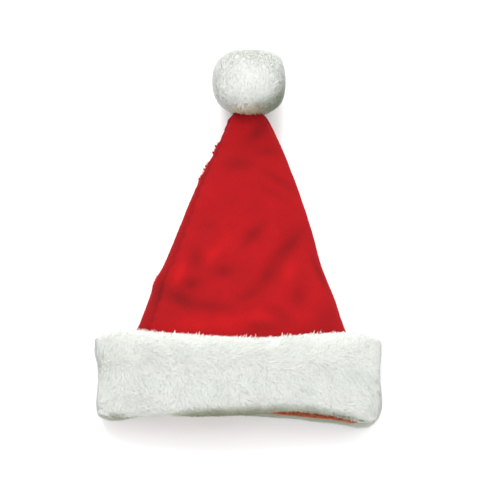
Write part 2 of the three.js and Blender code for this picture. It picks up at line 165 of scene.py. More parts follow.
# A fur's looks. One named after the rim holds on the rim that meets the crown.
FURS = {
    "cuff": {
        "slot": "white_fur",
        "rounds": 12,
        "levels": 1,
        "meshes": 3,
        "inset": 3.4 * MM,
        "length": 6.8 * MM,
        "width": 0.5 * MM,
        "uneven": 0.12,
        "lean": (36, 66),
        "nap": (0.35, -1.0, -0.25),
        "trim": 0.8 * MM,
        "rim_trim": 2.2 * MM,
        "swirl": 40,
        "clump": 3.2 * MM,
        "gathering": 0.25,
        "rim_gathering": 0.5,
        # colour of the painted shade by the cuff's hem
        "shade": (0.48, 0.5, 0.37),
        "limb_shade": 0.2,
        "toward_light": (0, -0.2, 0.6),
        "clump_tone": 0.97,
    },
    "pompom": {
        "slot": "pompom_fur",
        "rounds": 10,
        "levels": 1,
        "meshes": 1,
        "inset": 3.2 * MM,
        "length": 6.2 * MM,
        "width": 0.5 * MM,
        "uneven": 0.1,
        "lean": (36, 66),
        "nap": (-0.06, -0.85, 0.5),
        "trim": 1.0 * MM,
        "swirl": 13,
        "clump": 2.4 * MM,
        "gathering": 0.18,
        # painted shade on the pompom's lower right, the side away from the light
        "shade_way": (0.6, -0.7, -0.3),
        "shade_from": (0.35, 0.95),
        "shade": (0.52, 0.57, 0.47),
        "limb_shade": 0.06,
        "toward_light": (-0.1, 0.5, 1.0),
        "clump_tone": 0.975,
    },
}

# The hem across the hat, in mm: how far the fur in front of the mouth, the fur behind it and the
# cloth are drawn up, or below zero let down, how far up its painted shade reaches, and how deep that
# is.
HEM_COLUMNS = ("x", "front", "back", "cloth", "reach", "shade")
HEM_ROWS = [
    (-141, 0, 1, 0, 3, 0.25),
    (-128, 1, 3, 3, 6, 0.8),
    (-116, 2, 5, 5, 4, 0.5),
    (-103, 2.5, 6.5, 6.5, 3, 0.3),
    (-90, 2.2, 6.5, 6.5, 3, 0.3),
    (-78, 1.3, 6, 6, 3, 0.35),
    (-65, -1.5, 3.5, 4, 5, 0.7),
    (-50, -3, 2.5, 4, 7, 1),
    (-20, -4, 2.5, 3, 8, 1),
    (18, -3.4, 1.5, 2, 8, 1),
    (38, 0.4, 1, 0, 7, 0.9),
    (58, 2.2, 2.6, 0, 6, 0.8),
    (78, 2.4, 1.4, 0, 6, 0.8),
    (111, 2.4, 2.8, 0, 5, 0.7),
    (120, 2, 1.8, 0, 4, 0.5),
    (128, -0.5, 1, 0, 4, 0.3),
    (136, -2.5, 0, 0, 3, 0.15),
]
LAYER_REACH = 12 * MM  # over and under the crown's middle, where the front turns to the back
HEM_TURN = (-0.05, -0.5)  # how far the fur faces -Y where its hem begins
HEM_STEP = 6 * MM  # between the places where the hem line is read
CLOTH_REACH = 14 * MM  # how far up from its mouth the cloth is drawn with the hem
HEM_SHADE_EDGE = (1.8, 0.3)  # where the front's painted shade begins and is full, in reaches
# painted shade on the fur behind the mouth, where its hem lies under the front
BACK_SHADE = 0.6
BACK_REACH = 25 * MM
BACK_SHADE_EDGE = (BACK_REACH, 0.5 * BACK_REACH)  # where the back's painted shade begins and is full

# How far the cuff's left side is drawn in at these places along the hat.
SIDE_PLACES = (-192 * MM, -186 * MM, -167 * MM, -141 * MM, -125 * MM)
SIDE_SHIFTS = (0, 1.5 * MM, 3 * MM, 2 * MM, 0)
SIDE_TURN = (0.3, 0.8)

# Where each fur stands out of its solid: the way out, how narrow, and how high in mm.
SWELL_COLUMNS = ("x", "y", "z", "focus", "height")
SWELLS = {
    "cuff": [
        (-0.6, 0.8, 0, 12, 4.5),
        (0.65, 0.75, 0, 10, 3.5),
        (0.6, -0.8, 0, 10, 1.5),
        (-0.6, -0.8, 0, 10, 2),
    ],
    "pompom": [
        (0.66, 0.75, 0, 7, 4.5),
        (-0.58, 0.8, 0, 7, 2.5),
        (0, 1, 0, 3, 1),
        (0.8, -0.6, 0, 6, 1.2),
    ],
}
LIMB_FROM = (0.8, 1)  # how far the fur faces sideways where painted shade darkens it
NAP_PLACES = (-158 * MM, -114 * MM)  # the cuff's nap turns round between these
NAP_TURN = math.radians(130)
RIM_STANDING = 0.35  # how far its fur stands up on the rim, from flat to upright
WHORL_REACH = 0.45  # how far the pompom's whorl reaches, as a share of its radius
WARM_FROM = 143 * MM  # the pompom's fur is painted warm between these: painted light bounced from the red cloth
WARM_TO = 133 * MM
# colour of the painted light bounced from the red cloth
PAINTED_BOUNCE_COLOUR = (1.0, 0.85, 0.65)
WARM_LIGHT = 0.9  # how much of the painted shade is taken away where the painted bounce light is

# Pointed tufts. A facing is how far the base faces +Y where they grow, in_front is whether that is
# on the fur in front of the mouth, and across is in mm.
TUFTS_OF_FUR = [
    {
        "facing": (0.3, 1),
        "in_front": True,
        "across": (-160, 160),
        "count": 300,
        "way": (0.5, 1, 0.25),
        "length": 7.8 * MM,
    },
    {
        "facing": (-1, -0.4),
        "in_front": True,
        "across": (28, 132),
        "count": 160,
        "way": (0.1, -1, -0.4),
        "length": 5.2 * MM,
    },
    {
        "facing": (-1, -0.5),
        "in_front": False,
        "across": (28, 132),
        "count": 16,
        "way": (0.3, -1, 0.1),
        "length": 5.2 * MM,
    },
]
TUFT_BLADES = 20
TUFT_WIDTH = 1.3 * MM
TUFT_SPREAD = 0.22
TUFT_LENGTHS = (0.6, 1.1)
TUFT_STANDING = 0.6  # how far its blades stand up where they start
TUFT_ROLL = 0.3
TUFT_KNEE_SPREAD = 0.75  # how far the knees and tips keep apart, as shares of the roots' spread
TUFT_TIP_SPREAD = 0.15
TUFT_BLADE_WIDTH = 0.8  # as a share of the fur's
TUFT_TONES = (0.94, 1)
WHORL_TUFT = {
    "blades": 5000,
    "reach": 20 * MM,
    "way": (0, -0.9, -0.2),
    "spread": 0.3,
    "length": 10 * MM,
    "lengths": (0.5, 1),
    "fading": 0.5,
}

# Materials. The finishes are inputs of the shader, and the colours are stops of a ramp.
FINISHES = {
    "red_plush": {
        "Roughness": 0.9,
        "Specular IOR Level": 0.06,
        "Sheen Weight": 0.06,
        "Sheen Roughness": 0.4,
        "Sheen Tint": (1, 0.3, 0.3, 1),
    },
    "red_threads": {"Roughness": 0.9},
    "cloth_reverse": {"Roughness": 0.9, "Specular IOR Level": 0.2},
    "fur": {"Roughness": 0.8, "Specular IOR Level": 0.15, "Sheen Weight": 0.1},
    "base": {"Roughness": 0.9, "Specular IOR Level": 0.1},
    "floor": {"Roughness": 0.9, "Base Color": (0.93, 0.93, 0.93, 1)},
}
COLOURS = {
    "red_plush": [
        (0.1, (0.38, 0.007, 0.009)),
        (0.33, (0.275, 0.006, 0.008)),
        (0.9, (0.115, 0.005, 0.006)),
    ],
    "red_threads": [(0, (0.62, 0.02, 0.025)), (0.5, (0.36, 0.014, 0.018))],
    "cloth_reverse": [(0.35, (0.24, 0.052, 0.02)), (0.65, (0.48, 0.14, 0.06))],
    # darker at the root than at the tip: painted shade deep in the fur
    "fur": [(0, (0.91, 0.93, 0.895)), (0.6, (0.935, 0.955, 0.925)), (1, (0.95, 0.965, 0.94))],
    # a little darker than the fur, as painted shade at the roots, with a random grain
    "base": [(0.3, (0.88, 0.91, 0.85)), (0.7, (0.95, 0.97, 0.93))],
}
GRAINS = {
    "broad": {"scale": 40, "detail": 4},
    "plush": {"scale": 900, "detail": 3, "stretch": (1, 0.4, 1)},
    "weave": {"scale": 500, "detail": 3},
    "base": {"scale": 600, "detail": 2},
}
BUMPS = {
    "red_plush": {"strength": 0.6, "distance": 0.4 * MM},
    "cloth_reverse": {"strength": 0.7, "distance": 0.5 * MM},
    "base": {"strength": 0.8, "distance": 0.6 * MM},
}
PLUSH_TONES = {"least": 0.1, "depth": 0.75, "broad": 0.25, "plush": 0.2}

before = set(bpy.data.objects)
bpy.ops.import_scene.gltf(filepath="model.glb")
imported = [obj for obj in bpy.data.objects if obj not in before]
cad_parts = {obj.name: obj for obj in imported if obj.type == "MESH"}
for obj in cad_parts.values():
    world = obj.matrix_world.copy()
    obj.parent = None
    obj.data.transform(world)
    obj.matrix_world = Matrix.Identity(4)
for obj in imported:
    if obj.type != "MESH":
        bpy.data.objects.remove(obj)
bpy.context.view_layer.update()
rng = np.random.default_rng(SEED)


def add_piece(name, mesh):
    piece = bpy.data.objects.new(name, mesh)
    bpy.context.collection.objects.link(piece)
    return piece


def vectors(collection, attribute):
    """A vector of every item of a mesh's collection, one a row."""
    flat = np.empty(len(collection) * 3, np.float32)
    collection.foreach_get(attribute, flat)
    return flat.reshape(-1, 3).astype(float)


def move_points(mesh, points):
    mesh.vertices.foreach_set("co", points.astype(np.float32).ravel())
    mesh.update()


def edges_of(mesh):
    ends = np.empty(len(mesh.edges) * 2, np.int32)
    mesh.edges.foreach_get("vertices", ends)
    return ends.reshape(-1, 2)


def unit(rows):
    rows = np.atleast_2d(rows)
    return rows / np.maximum(np.linalg.norm(rows, axis=1, keepdims=True), LEAST_LENGTH)


def smooth_step(low, high, value):
    share = np.clip((value - low) / (high - low), 0, 1)
    return share * share * (3 - 2 * share)


def between(values, limits):
    return (values > limits[0]) & (values < limits[1])


def noise_at(points, size):
    """Smooth noise from -1 to 1 with features of about this size."""
    return np.array([noise.noise(Vector(point) / size) for point in points])


# Section lines of the hollow


def crown_sections():
    """Middle and half width, across and up, of the crown's solid at even steps along the hat."""
    points = vectors(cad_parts["crown"].data.vertices, "co")
    low, high = points[:, 1].min(), points[:, 1].max()
    places = np.arange(low + SECTION_STEP, high - SECTION_STEP, SECTION_STEP)
    rows = []
    for place in places:
        near = points[np.abs(points[:, 1] - place) < 2 * SECTION_STEP]
        left, right = near[:, 0].min(), near[:, 0].max()
        bottom, top = near[:, 2].min(), near[:, 2].max()
        rows.append(((left + right) / 2, (right - left) / 2, (bottom + top) / 2, (top - bottom) / 2))
    return places, np.array(rows)


SECTION_PLACES, SECTION_ROWS = crown_sections()


def section_at(points):
    """The crown's middle x, half width, middle z and half height beside each point."""
    return [np.interp(points[:, 1], SECTION_PLACES, column) for column in SECTION_ROWS.T]


def outwardness(points, normals):
    """From -1 to 1: how far each normal points away from the hollow's middle line."""
    middle, half, level, rise = section_at(points)
    across = (points[:, 0] - middle) / half
    up = (points[:, 2] - level) / rise
    out = np.stack([across, np.zeros(len(points)), up], 1)
    return np.einsum("ij,ij->i", unit(out), normals)


# Bases


def relaxed(points, edges, rounds):
    """Points with the small lumps smoothed out and the broad form kept."""
    count = np.bincount(edges.ravel(), minlength=len(points))[:, None]
    for _ in range(rounds):
        for step in (RELAX_STEP, -RETURN_STEP):
            total = np.zeros_like(points)
            np.add.at(total, edges[:, 0], points[edges[:, 1]])
            np.add.at(total, edges[:, 1], points[edges[:, 0]])
            points = points + step * (total / count - points)
    return points


def refined(node, name, rounds, levels):
    """A finer copy of a node's solid, relaxed for so many rounds first."""
    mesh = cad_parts[node].data.copy()
    mesh.materials.clear()
    work = bmesh.new()
    work.from_mesh(mesh)
    bmesh.ops.remove_doubles(work, verts=work.verts, dist=MERGE_DISTANCE)
    bmesh.ops.join_triangles(
        work, faces=work.faces, angle_face_threshold=math.pi, angle_shape_threshold=math.pi
    )
    bmesh.ops.recalc_face_normals(work, faces=work.faces)
    work.to_mesh(mesh)
    work.free()
    move_points(mesh, relaxed(vectors(mesh.vertices, "co"), edges_of(mesh), rounds))
    piece = add_piece(name, mesh)
    modifier = piece.modifiers.new("Subdivision", "SUBSURF")
    modifier.levels = levels
    modifier.render_levels = levels
    graph = bpy.context.evaluated_depsgraph_get()
    fine = bpy.data.meshes.new_from_object(piece.evaluated_get(graph))
    piece.modifiers.clear()
    piece.data = fine
    fine.name = name
    for layer in list(fine.uv_layers):
        fine.uv_layers.remove(layer)
    fine.shade_smooth()
    return piece


def furriness(node, points, normals):
    """From 0 to 1: how far each point lies on a furry side of a solid."""
    if node == "pompom":
        return np.ones(len(points))
    outward = smooth_step(*OUTWARD_FROM, outwardness(points, normals))
    rim = smooth_step(*RIM_FROM, np.abs(normals[:, 1]))
    return np.maximum(outward, rim)


def in_front(points):
    """Which points belong to the fur in front of the mouth."""
    return points[:, 2] > section_at(points)[2]


def front_share(points):
    """From 0 to 1: how far each point belongs to the fur in front of the mouth."""
    return smooth_step(-LAYER_REACH, LAYER_REACH, points[:, 2] - section_at(points)[2])


def hem_at(points, column):
    """A column of the hem's table at each point's place across the hat."""
    rows = [dict(zip(HEM_COLUMNS, row)) for row in HEM_ROWS]
    return np.interp(points[:, 0], [row["x"] * MM for row in rows], [row[column] for row in rows])


def fur_drawn_up(points):
    """How far the hem of the fur by each point is drawn up, in mm."""
    front = front_share(points)
    return hem_at(points, "front") * front + hem_at(points, "back") * (1 - front)


def shift_cuff(points, normals):
    """Draws the cuff's hem and left side in, or lets them down."""
    up = fur_drawn_up(points) * MM
    aside = np.interp(points[:, 1], SIDE_PLACES, SIDE_SHIFTS)
    points[:, 1] += up * smooth_step(*HEM_TURN, normals[:, 1])
    points[:, 0] += aside * smooth_step(*SIDE_TURN, -normals[:, 0])


def swell_heights(node, normals):
    heights = np.zeros(len(normals))
    for row in SWELLS[node]:
        swell = dict(zip(SWELL_COLUMNS, row))
        facing = normals @ unit((swell["x"], swell["y"], swell["z"]))[0]
        heights += swell["height"] * MM * np.clip(facing, 0, 1) ** swell["focus"]
    return heights


def hem_line(points):
    """The least Y at even steps across the cuff's fur in front of the mouth."""
    front = points[in_front(points)]
    steps = np.arange(front[:, 0].min() + HEM_STEP, front[:, 0].max(), HEM_STEP)
    edge = [front[np.abs(front[:, 0] - step) < HEM_STEP, 1].min() for step in steps]
    return steps, np.array(edge)


@dataclass
class Pile:
    """A fur's smooth base, the form that it is trimmed to, the cuff's hem line, and its material."""

    node: str
    look: dict
    base: bpy.types.Object
    form: bvhtree.BVHTree
    hem: tuple
    material: bpy.types.Material


def make_pile(node):
    """A node's pile, with its base set in from the form by the fur's depth."""
    look = FURS[node]
    base = refined(node, f"{node}_base", look["rounds"], look["levels"])
    mesh = base.data
    points = vectors(mesh.vertices, "co")
    normals = vectors(mesh.vertex_normals, "vector")
    hem = ()
    if node == "cuff":
        shift_cuff(points, normals)
        hem = hem_line(points)
    points += normals * swell_heights(node, normals)[:, None]
    faces = [polygon.vertices[:] for polygon in mesh.polygons]
    form = bvhtree.BVHTree.FromPolygons(points.tolist(), faces)
    pile = Pile(node, look, base, form, hem, fur_material(node))
    points -= normals * (look["inset"] * furriness(node, points, normals))[:, None]
    points[:, 2] = np.maximum(points[:, 2], BLADE_LEAST_HEIGHT)
    move_points(mesh, points)
    # the base takes the fur's painted shade and painted bounce light too
    add_tint(mesh, tint_of(pile, points, vectors(mesh.vertex_normals, "vector")))
    mesh.materials.append(base_material(node))
    return pile


# Crown


def wrinkle_heights(points):
    """Heights of the cloth's small wrinkles."""
    heights = np.zeros(len(points))
    for row in WRINKLES:
        places = points / (row["stretch"], 1, 1)
        heights += row["height"] * noise_at(places, row["size"])
    return heights


def tuft_bumps(points, normals):
    """Heights of the bumps under the frayed tufts."""
    heights = np.zeros(len(points))
    for tuft in TUFTS:
        from_tuft = (points[:, 1] - tuft["along"]) / tuft["spread"]
        heights += tuft["bump"] * np.exp(-(from_tuft**2))
    return heights * smooth_step(*BUMP_FROM, -normals[:, 0])


def patch_depths(points):
    """How dark the charted patches make each point of the upper cloth, as the pile's tone and as
    painted shade.
    """
    depths = np.zeros(len(points))
    for row in PATCHES:
        patch = dict(zip(PATCH_COLUMNS, row))
        turn = math.radians(patch["turn"])
        aside = points[:, 0] - patch["x"] * MM
        ahead = points[:, 1] - patch["y"] * MM
        spread = PATCH_SPREAD * MM
        along = (aside * math.cos(turn) + ahead * math.sin(turn)) / (patch["half_length"] * spread)
        across = (ahead * math.cos(turn) - aside * math.sin(turn)) / (patch["half_width"] * spread)
        depths += patch["depth"] / PATCH_SPREAD * np.exp(-(along**2) - across**2)
    return depths


def make_crown():
    """The crown's cloth, with its folds, its seam, the tones of its pile, and painted shade in its
    dents and under the pompom.
    """
    piece = refined("crown", "crown_cloth", 0, CROWN_LEVELS)
    mesh = piece.data
    points = vectors(mesh.vertices, "co")
    normals = vectors(mesh.vertex_normals, "vector")
    outside = outwardness(points, normals) > 0
    middle, half, level, _ = section_at(points)
    upper = outside * smooth_step(*UPPER_FROM, points[:, 2] - level)
    depths = patch_depths(points) * upper

    from_seam = points[:, 0] - (middle + SEAM_ACROSS * half)
    ripple = np.cos(points[:, 1] * 2 * math.pi / PUCKER_LENGTH)
    heights = wrinkle_heights(points) - PATCH_SINK * depths + tuft_bumps(points, normals)
    heights += PUCKER_HEIGHT * ripple * np.exp(-((from_seam / PUCKER_REACH) ** 2))
    points += normals * (heights * outside * smooth_step(0, SMOOTH_REACH, points[:, 2]))[:, None]
    from_mouth = points[:, 1] - points[:, 1].min()
    up = np.maximum(hem_at(points, "cloth"), fur_drawn_up(points))
    points[:, 1] += up * MM * smooth_step(CLOTH_REACH, 0, from_mouth)
    points[:, 2] = np.maximum(points[:, 2], 0)
    move_points(mesh, points)

    strip = STRIP_TONE * smooth_step(*STRIP_EDGE, from_seam)
    strip += SEAM_TONE * np.exp(-((from_seam / SEAM_WIDTH) ** 2))
    add_numbers(mesh, "depth", depths + strip * upper)
    mesh.materials.append(red_plush())
    mesh.materials.append(cloth_reverse())
    slots = [0 if outside[list(polygon.vertices)].mean() > 0.5 else 1 for polygon in mesh.polygons]
    mesh.polygons.foreach_set("material_index", slots)
    return piece


def left_edge(points, along):
    """The point of the cloth that is farthest left near a place along the hat."""
    near = points[np.abs(points[:, 1] - along) < THREAD_REACH]
    return near[near[:, 0].argmin()]


def make_fray(crown):
    """The frayed tufts of red threads on the crown's left edge, as one mesh."""
    points = vectors(crown.data.vertices, "co")
    roots, lengths = [], []
    for tuft in TUFTS:
        for _ in range(tuft["threads"]):
            place = left_edge(points, tuft["along"] + tuft["spread"] * rng.normal(0, THREAD_SCATTER))
            roots.append(place + rng.uniform(*THREAD_ROOTS) * MM)
            lengths.append(tuft["length"] * rng.uniform(*THREAD_LENGTHS))
    places, length = np.array(roots), np.array(lengths)
    count = len(places)
    outs = unit(np.array(THREAD_WAY) + rng.normal(0, THREAD_SPREAD, (count, 3)))
    bend = unit(outs + rng.normal(0, THREAD_BEND, (count, 3)))
    knees = places + outs * (KNEE * length)[:, None]
    tips = knees + bend * ((1 - KNEE) * length)[:, None]
    side = unit(np.cross(bend, rng.normal(0, 1, (count, 3))))
    mesh = blade_mesh("crown_fray", places, knees, tips, side, THREAD_WIDTH)
    add_numbers(mesh, "depth", np.repeat(rng.uniform(*THREAD_DEPTHS, count), len(BLADE_HEIGHTS)))
    mesh.materials.append(red_threads())
    return add_piece("crown_fray", mesh)


# Fur


def roots_on(pile, count):
    """Random points on the furry faces of a base, with the base's normal at each."""
    mesh = pile.base.data
    mesh.calc_loop_triangles()
    corners = np.empty(len(mesh.loop_triangles) * 3, np.int32)
    mesh.loop_triangles.foreach_get("vertices", corners)
    corners = corners.reshape(-1, 3)
    points = vectors(mesh.vertices, "co")
    normals = vectors(mesh.vertex_normals, "vector")
    first, second, third = (points[corners[:, column]] for column in range(3))
    area = np.linalg.norm(np.cross(second - first, third - first), axis=1)
    furry = furriness(pile.node, points, normals)[corners].mean(1)
    weight = area * smooth_step(*ROOTS_FROM, furry)
    weight *= np.where(points[corners, 2].mean(1) < PRESSED_HEIGHT, PRESSED_DENSITY, 1)
    picks = rng.choice(len(corners), size=count, p=weight / weight.sum())
    shares = rng.dirichlet((1, 1, 1), count)
    places = np.einsum("ij,ijk->ik", shares, points[corners[picks]])
    outs = unit(np.einsum("ij,ijk->ik", shares, normals[corners[picks]]))
    return places, outs


def leaders_of(places, spacing, area):
    """The index of the blade that leads the clump of each blade."""
    order = rng.permutation(len(places))[: int(area / spacing**2)]
    tree = kdtree.KDTree(len(order))
    for index in order:
        tree.insert(places[index], int(index))
    tree.balance()
    return np.array([tree.find(place)[1] for place in places])


def rim_share(pile, outs):
    """From 0 to 1: how far a blade stands on the rim that meets the crown."""
    if pile.node == "pompom":
        return np.zeros(len(outs))
    return smooth_step(*RIM_TURN, outs[:, 1])


def standing(pile, outs):
    """From 0 to 1: how far a blade stands up, in the pompom's whorl and on the cuff's rim."""
    if pile.node == "pompom":
        from_whorl = np.linalg.norm(outs - unit(pile.look["nap"]), axis=1)
        return np.exp(-((from_whorl / WHORL_REACH) ** 2))
    return RIM_STANDING * rim_share(pile, outs)


def nap_at(pile, places):
    """The way that the nap runs, which turns from the hem to the rim on the cuff."""
    x, y, z = pile.look["nap"]
    turn = np.zeros(len(places))
    if pile.node == "cuff":
        turn = NAP_TURN * smooth_step(*NAP_PLACES, places[:, 1])
    cosine, sine = np.cos(turn), np.sin(turn)
    return np.stack([x * cosine - y * sine, x * sine + y * cosine, np.full(len(places), z)], 1)


def lean_ways(pile, places, outs, leaders):
    """The way along the base that each blade leans, and the way beside it."""
    nap = nap_at(pile, places)
    along = unit(nap - outs * np.einsum("ij,ij->i", outs, nap)[:, None])
    beside = np.cross(outs, along)
    turn = math.radians(pile.look["swirl"]) * 2 * noise_at(places[leaders], SWIRL_SIZE)
    turn += rng.normal(0, WAY_SPREAD, len(places))
    way = along * np.cos(turn)[:, None] + beside * np.sin(turn)[:, None]
    return way, np.cross(way, outs)


def trimmed(tips, form, most):
    """Tips that stand out of a form by no more than so much each."""
    kept = tips.copy()
    for index, tip in enumerate(tips):
        place, normal, _, _ = form.find_nearest(tip)
        over = (Vector(tip) - place).dot(normal) - most[index]
        if over > 0:
            kept[index] -= np.array(normal) * over
    return kept


def by_rim(look, measure, rim):
    """A measure of the fur, which may be another on the rim that meets the crown."""
    return look[measure] * (1 - rim) + look.get(f"rim_{measure}", look[measure]) * rim


def make_fur(name, pile):
    """One joined mesh of bent, tapered blades on a base, trimmed to its form."""
    look = pile.look
    places, outs = roots_on(pile, BLADES)
    area = sum(polygon.area for polygon in pile.base.data.polygons)
    leaders = leaders_of(places, look["clump"], area)
    rim = rim_share(pile, outs)
    way, side = lean_ways(pile, places, outs, leaders)
    roll = rng.normal(0, ROLL_SPREAD, BLADES)
    side = side * np.cos(roll)[:, None] + outs * np.sin(roll)[:, None]

    lying = 1 - standing(pile, outs)
    uneven = rng.normal(0, 1, BLADES).clip(-UNEVEN_LIMIT, UNEVEN_LIMIT)
    length = look["length"] * (1 + look["uneven"] * uneven)
    length *= 1 + WAVE * noise_at(places, WAVE_SIZE)
    leans = [math.radians(angle) * lying + rng.normal(0, LEAN_SPREAD, BLADES) for angle in look["lean"]]
    steps = [outs * np.cos(lean)[:, None] + way * np.sin(lean)[:, None] for lean in leans]
    knees = places + steps[0] * (KNEE * length)[:, None]
    tips = knees + steps[1] * ((1 - KNEE) * length)[:, None]

    gathering = by_rim(look, "gathering", rim)[:, None]
    aside = places - places[leaders]
    knees += (knees[leaders] + aside * KNEE_ASIDE - knees) * gathering * KNEE_GATHERING
    tips += (tips[leaders] + aside * TIP_ASIDE - tips) * gathering
    most = by_rim(look, "trim", rim) * rng.random(BLADES)
    most += STRAY_LENGTH * (rng.random(BLADES) < STRAYS)
    knees = trimmed(knees, pile.form, most)
    tips = trimmed(tips, pile.form, most)

    clump_tint = rng.uniform(look["clump_tone"], 1, BLADES)[leaders]
    # painted shade and painted bounce light from tint_of, times random clump and blade tones
    tint = tint_of(pile, places, outs) * (clump_tint * rng.uniform(*BLADE_TONES, BLADES))[:, None]
    return blade_piece(name, pile, (places, knees, tips), side, look["width"], outs, tint)


def make_tufts(name, pile):
    """Pointed tufts of blades along the cuff's edges, as one mesh."""
    places, outs = roots_on(pile, BLADES)
    front = in_front(places)
    chosen, ways, lengths = [], [], []
    for row in TUFTS_OF_FUR:
        fit = (front == row["in_front"]) & between(outs[:, 1], row["facing"])
        fit &= between(places[:, 0] / MM, row["across"])
        picks = rng.choice(np.flatnonzero(fit), row["count"])
        chosen.append(picks)
        ways.append(np.array(row["way"]) + rng.normal(0, TUFT_SPREAD, (row["count"], 3)))
        lengths.append(row["length"] * rng.uniform(*TUFT_LENGTHS, row["count"]))
    picks = np.repeat(np.concatenate(chosen), TUFT_BLADES)
    way = np.repeat(unit(np.concatenate(ways)), TUFT_BLADES, axis=0)
    length = np.repeat(np.concatenate(lengths), TUFT_BLADES)
    return tuft_piece(name, pile, places[picks], outs[picks], way, length)


def make_whorl_tuft(name, pile):
    """The tuft that hangs over the red tip from the pompom's whorl."""
    tuft = WHORL_TUFT
    places, outs = roots_on(pile, BLADES)
    middle = places[(outs @ unit(pile.look["nap"])[0]).argmax()]
    far = np.linalg.norm(places - middle, axis=1) / tuft["reach"]
    picks = rng.choice(np.flatnonzero(far < 1), tuft["blades"])
    way = unit(np.array(tuft["way"]) + rng.normal(0, tuft["spread"], (len(picks), 3)))
    length = tuft["length"] * (1 - tuft["fading"] * far[picks])
    length *= rng.uniform(*tuft["lengths"], len(picks))
    return tuft_piece(name, pile, places[picks], outs[picks], way, length)


def tuft_piece(name, pile, places, outs, way, length):
    """Blades that draw together from spread roots."""
    count = len(places)
    spread = rng.normal(0, TUFT_WIDTH / 2, (count, 3))
    spread -= outs * np.einsum("ij,ij->i", outs, spread)[:, None]
    start = unit(way + outs * TUFT_STANDING)
    roots = places + spread
    knees = places + spread * TUFT_KNEE_SPREAD + start * (KNEE * length)[:, None]
    tips = places + spread * TUFT_TIP_SPREAD + (start * KNEE + way * (1 - KNEE)) * length[:, None]
    side = unit(np.cross(way, outs + rng.normal(0, TUFT_ROLL, (count, 3))))
    # painted shade and painted bounce light from tint_of, times random tones
    tint = tint_of(pile, places, outs) * rng.uniform(*TUFT_TONES, (count, 1))
    width = pile.look["width"] * TUFT_BLADE_WIDTH
    return blade_piece(name, pile, (roots, knees, tips), side, width, outs, tint)


def blade_piece(name, pile, rows, side, width, outs, tint):
    """A piece of a pile's fur, from the rows of its blades' roots, knees and tips."""
    mesh = blade_mesh(name, *rows, side, width)
    soften_normals(mesh, unit(outs + pile.look["toward_light"]))
    add_tint(mesh, np.repeat(tint, len(BLADE_HEIGHTS), axis=0))
    mesh.materials.append(pile.material)
    return add_piece(name, mesh)


def blade_mesh(name, places, knees, tips, side, width):
    """A mesh of blades, each a quad from root to knee and a triangle to the tip."""
    count = len(places)
    half = side * (width / 2)
    knee_half = half * KNEE_WIDTH
    rows = [places - half, places + half, knees + knee_half, knees - knee_half, tips]
    points = np.stack(rows, 1)
    points[:, :, 2] = np.maximum(points[:, :, 2], BLADE_LEAST_HEIGHT)
    mesh = bpy.data.meshes.new(name)
    mesh.vertices.add(points.size // 3)
    corner_order = [corner for face in BLADE_FACES for corner in face]
    first = np.arange(count)[:, None]
    corners = first * len(BLADE_HEIGHTS) + corner_order
    mesh.loops.add(corners.size)
    mesh.loops.foreach_set("vertex_index", corners.astype(np.int32).ravel())
    mesh.polygons.add(count * len(BLADE_FACES))
    starts = first * len(corner_order) + [0, len(BLADE_FACES[0])]
    mesh.polygons.foreach_set("loop_start", starts.astype(np.int32).ravel())
    mesh.vertices.foreach_set("co", points.astype(np.float32).ravel())
    mesh.update(calc_edges=True)
    mesh.shade_smooth()

    cells = math.ceil(math.sqrt(count))
    cell = np.concatenate([first % cells, first // cells], 1)[:, None]
    spots = (cell + np.array(BLADE_PLACES)[corner_order]) / cells
    layer = mesh.uv_layers.new(name="OFBake")
    layer.data.foreach_set("uv", spots.astype(np.float32).ravel())

    add_numbers(mesh, "tip", np.tile(BLADE_HEIGHTS, count))
    return mesh


def soften_normals(mesh, facing):
    """Mixes the normals of each blade with the way that the fur faces there."""
    own = vectors(mesh.vertex_normals, "vector")
    shared = np.repeat(facing, len(BLADE_HEIGHTS), axis=0)
    soft = unit(own * (1 - SHARED_NORMAL) + shared * SHARED_NORMAL)
    mesh.normals_split_custom_set_from_vertices(soft.tolist())


def hem_shade(pile, places, outs):
    """How deep the painted shade is at each place of the cuff by its hem, from 0 to 1."""
    from_hem = places[:, 1] - np.interp(places[:, 0], *pile.hem)
    reach = hem_at(places, "reach") * MM
    front = hem_at(places, "shade") * smooth_step(*HEM_SHADE_EDGE, from_hem / reach)
    back = BACK_SHADE * smooth_step(*BACK_SHADE_EDGE, from_hem)
    back *= smooth_step(*HEM_TURN, outs[:, 1]) * np.sqrt(hem_at(places, "shade"))
    return np.where(in_front(places), front, back)


def tint_of(pile, places, outs):
    """What the fur's colour is multiplied by at each place: painted shade by the cuff's hem, on the
    pompom's lower right and on the sides, painted light bounced from the red cloth, and a random
    mottle.
    """
    look = pile.look
    painted_bounce = np.zeros(len(places))
    if pile.node == "cuff":
        shade = hem_shade(pile, places, outs)
    else:
        painted_bounce = smooth_step(WARM_FROM, WARM_TO, places[:, 1])
        shade = smooth_step(*look["shade_from"], outs @ unit(look["shade_way"])[0])
        shade *= 1 - WARM_LIGHT * painted_bounce
    # painted shade: by the cuff's hem, and on the pompom's lower right
    tint = 1 - shade[:, None] * (1 - np.array(look["shade"]))
    # painted light bounced from the red cloth
    tint *= 1 - painted_bounce[:, None] * (1 - np.array(PAINTED_BOUNCE_COLOUR))
    # painted shade on the sides that face across the hat
    tint *= 1 - look["limb_shade"] * smooth_step(*LIMB_FROM, np.abs(outs[:, 0]))[:, None]
    return tint * (1 - MOTTLE * (1 + noise_at(places, MOTTLE_SIZE)[:, None]))


def add_numbers(mesh, name, numbers):
    attribute = mesh.attributes.new(name, "FLOAT", "POINT")
    attribute.data.foreach_set("value", numbers.astype(np.float32))


def add_tint(mesh, tint):
    attribute = mesh.attributes.new("tint", "FLOAT_COLOR", "POINT")
    colours = np.concatenate([tint, np.ones((len(tint), 1))], 1)
    attribute.data.foreach_set("color", colours.astype(np.float32).ravel())


# Materials


